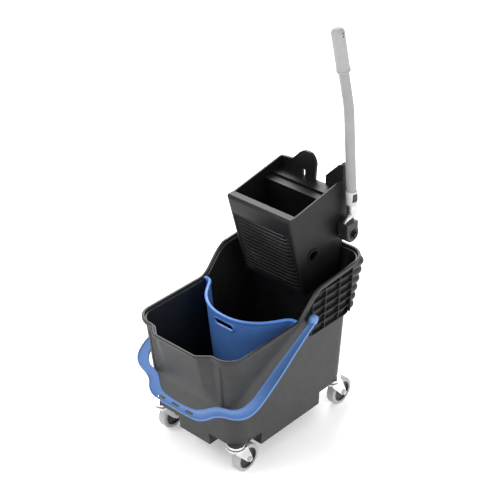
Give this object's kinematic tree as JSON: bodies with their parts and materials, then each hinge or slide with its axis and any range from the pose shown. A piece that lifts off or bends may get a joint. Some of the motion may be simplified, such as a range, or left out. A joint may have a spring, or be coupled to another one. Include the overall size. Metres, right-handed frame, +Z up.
{
  "type": "mop bucket with wringer",
  "caption": "Wheeled twin-compartment mop bucket with a lever-operated press wringer, lift-out divider, folding carry bail and swivel castors.",
  "frame": {"origin": "on the floor under the middle of the whole bucket, bail and wringer", "axes": "+X to the right, the side of the lever; +Y to the rear, where the rim is high and the wringer stands; +Z up"},
  "size_m": [0.3906, 0.536, 1.0491],
  "materials": {
    "recycled_pp_black": "fine moulded grain",
    "blue_pp": "smooth moulded",
    "divider_pp": "smooth moulded",
    "wringer_pp": "smooth moulded",
    "bush_acetal": "smooth",
    "spring_steel": "drawn wire",
    "shaft_steel": "zinc plated",
    "cam_nylon": "moulded",
    "hub_nylon": "glass-filled, ribbed",
    "zinc_plate": "bright zinc",
    "galvanised_steel": "galvanised",
    "sleeve_plastic": "smooth moulded",
    "clip_plastic": "moulded",
    "painted_tube": "satin grey",
    "grip_plastic": "satin",
    "chrome_plate": "bright",
    "bearing_steel": "polished",
    "wheel_hub_pp": "moulded",
    "grey_rubber": "matte"
  },
  "bodies": {
    "bucket": {"bucket_shell": "recycled_pp_black", "bucket_base": "recycled_pp_black", "rim_lattice": "recycled_pp_black", "bail_boss_left": "recycled_pp_black", "bail_boss_right": "recycled_pp_black", "castor_front_left_stem": "chrome_plate", "castor_front_right_stem": "chrome_plate", "castor_rear_left_stem": "chrome_plate", "castor_rear_right_stem": "chrome_plate"},
    "divider": {"divider": "divider_pp"},
    "bail": {"bail": "blue_pp"},
    "wringer": {"wringer_housing": "wringer_pp", "front_grille": "wringer_pp", "rim_hook_left": "wringer_pp", "rim_hook_right": "wringer_pp", "shaft_bush_left": "bush_acetal", "shaft_bush_right": "bush_acetal", "return_spring_left": "spring_steel", "return_spring_right": "spring_steel"},
    "press_plate": {"press_plate": "wringer_pp"},
    "lever": {"cross_shaft": "shaft_steel", "cam_left": "cam_nylon", "cam_right": "cam_nylon", "lever_hub": "hub_nylon", "hub_bolt": "zinc_plate", "shaft_circlip": "spring_steel", "lever_shank": "galvanised_steel", "lever_sleeve": "sleeve_plastic", "sleeve_clip": "clip_plastic", "lever_tube": "painted_tube", "lever_grip": "grip_plastic"},
    "swivel_front_left": {"castor_front_left_balls": "bearing_steel", "castor_front_left_fork": "chrome_plate", "castor_front_left_axle": "zinc_plate", "castor_front_left_nut": "zinc_plate"},
    "wheel_front_left": {"castor_front_left_hub": "wheel_hub_pp", "castor_front_left_tyre": "grey_rubber"},
    "swivel_front_right": {"castor_front_right_balls": "bearing_steel", "castor_front_right_fork": "chrome_plate", "castor_front_right_axle": "zinc_plate", "castor_front_right_nut": "zinc_plate"},
    "wheel_front_right": {"castor_front_right_hub": "wheel_hub_pp", "castor_front_right_tyre": "grey_rubber"},
    "swivel_rear_left": {"castor_rear_left_balls": "bearing_steel", "castor_rear_left_fork": "chrome_plate", "castor_rear_left_axle": "zinc_plate", "castor_rear_left_nut": "zinc_plate"},
    "wheel_rear_left": {"castor_rear_left_hub": "wheel_hub_pp", "castor_rear_left_tyre": "grey_rubber"},
    "swivel_rear_right": {"castor_rear_right_balls": "bearing_steel", "castor_rear_right_fork": "chrome_plate", "castor_rear_right_axle": "zinc_plate", "castor_rear_right_nut": "zinc_plate"},
    "wheel_rear_right": {"castor_rear_right_hub": "wheel_hub_pp", "castor_rear_right_tyre": "grey_rubber"}
  },
  "joints": [
    {"name": "wringer_lift", "type": "slide", "parent": "bucket", "child": "wringer", "axis": [0, 0, 1], "range_m": [0, 0.45]},
    {"name": "lever_swing", "type": "hinge", "parent": "wringer", "child": "lever", "pos_m": [0, 0.23532, 0.498], "axis": [1, 0, 0], "range_deg": [0, 80], "stiffness_Nm_per_rad": 2, "springref_deg": -22.92},
    {"name": "press_slide", "type": "slide", "parent": "wringer", "child": "press_plate", "axis": [0, -1, 0], "range_m": [0, 0.0535], "deforming": ["return_spring_left", "return_spring_right"]},
    {"name": "divider_lift", "type": "slide", "parent": "bucket", "child": "divider", "axis": [0, 0, 1], "range_m": [0, 0.55]},
    {"name": "bail_swing", "type": "hinge", "parent": "bucket", "child": "bail", "pos_m": [0, 0.04612, 0.3554], "axis": [-1, 0, 0], "range_deg": [0, 118]},
    {"name": "swivel_front_left", "type": "hinge", "parent": "bucket", "child": "swivel_front_left", "pos_m": [-0.126, -0.18368, 0.084], "axis": [0, 0, 1], "continuous": true},
    {"name": "wheel_front_left", "type": "hinge", "parent": "swivel_front_left", "child": "wheel_front_left", "pos_m": [-0.126, -0.15268, 0.0375], "axis": [1, 0, 0], "continuous": true},
    {"name": "swivel_front_right", "type": "hinge", "parent": "bucket", "child": "swivel_front_right", "pos_m": [0.126, -0.18368, 0.084], "axis": [0, 0, 1], "continuous": true},
    {"name": "wheel_front_right", "type": "hinge", "parent": "swivel_front_right", "child": "wheel_front_right", "pos_m": [0.126, -0.15268, 0.0375], "axis": [1, 0, 0], "continuous": true},
    {"name": "swivel_rear_left", "type": "hinge", "parent": "bucket", "child": "swivel_rear_left", "pos_m": [-0.126, 0.17932, 0.084], "axis": [0, 0, 1], "continuous": true},
    {"name": "wheel_rear_left", "type": "hinge", "parent": "swivel_rear_left", "child": "wheel_rear_left", "pos_m": [-0.126, 0.21032, 0.0375], "axis": [1, 0, 0], "continuous": true},
    {"name": "swivel_rear_right", "type": "hinge", "parent": "bucket", "child": "swivel_rear_right", "pos_m": [0.126, 0.17932, 0.084], "axis": [0, 0, 1], "continuous": true},
    {"name": "wheel_rear_right", "type": "hinge", "parent": "swivel_rear_right", "child": "wheel_rear_right", "pos_m": [0.126, 0.21032, 0.0375], "axis": [1, 0, 0], "continuous": true}
  ],
  "couplings": [
    {"joint": "press_slide", "follows": "lever_swing", "m_per_rad": 0.038}
  ]
}
